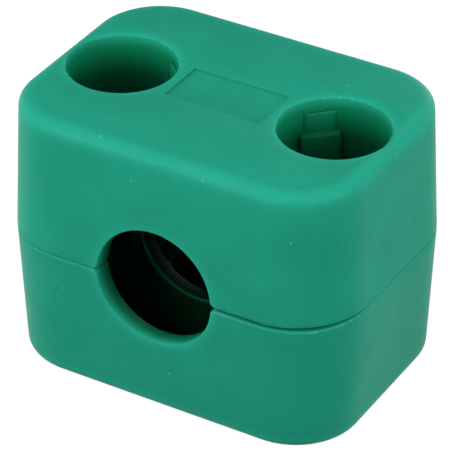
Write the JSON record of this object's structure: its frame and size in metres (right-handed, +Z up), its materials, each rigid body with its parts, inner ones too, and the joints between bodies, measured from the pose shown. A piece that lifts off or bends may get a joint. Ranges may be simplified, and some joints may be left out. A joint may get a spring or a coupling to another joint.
{
  "type": "hydraulic tube clamp",
  "caption": "Moulded plastic clamp body in halves that meet round a hydraulic tube, with a ribbed tube seat and recessed bolt holes with stepped noses.",
  "frame": {"origin": "centre of the base face of the lower half, which is the middle of the bounding box at its lowest height", "axes": "+X across the tube towards one bolt, +Y along the tube, +Z up through both halves along the bolts"},
  "size_m": [0.0418, 0.0304, 0.0317],
  "materials": {
    "clamp_plastic": "satin moulded polypropylene"
  },
  "bodies": {
    "root": {"upper_half": "clamp_plastic", "lower_half": "clamp_plastic"}
  },
  "joints": []
}
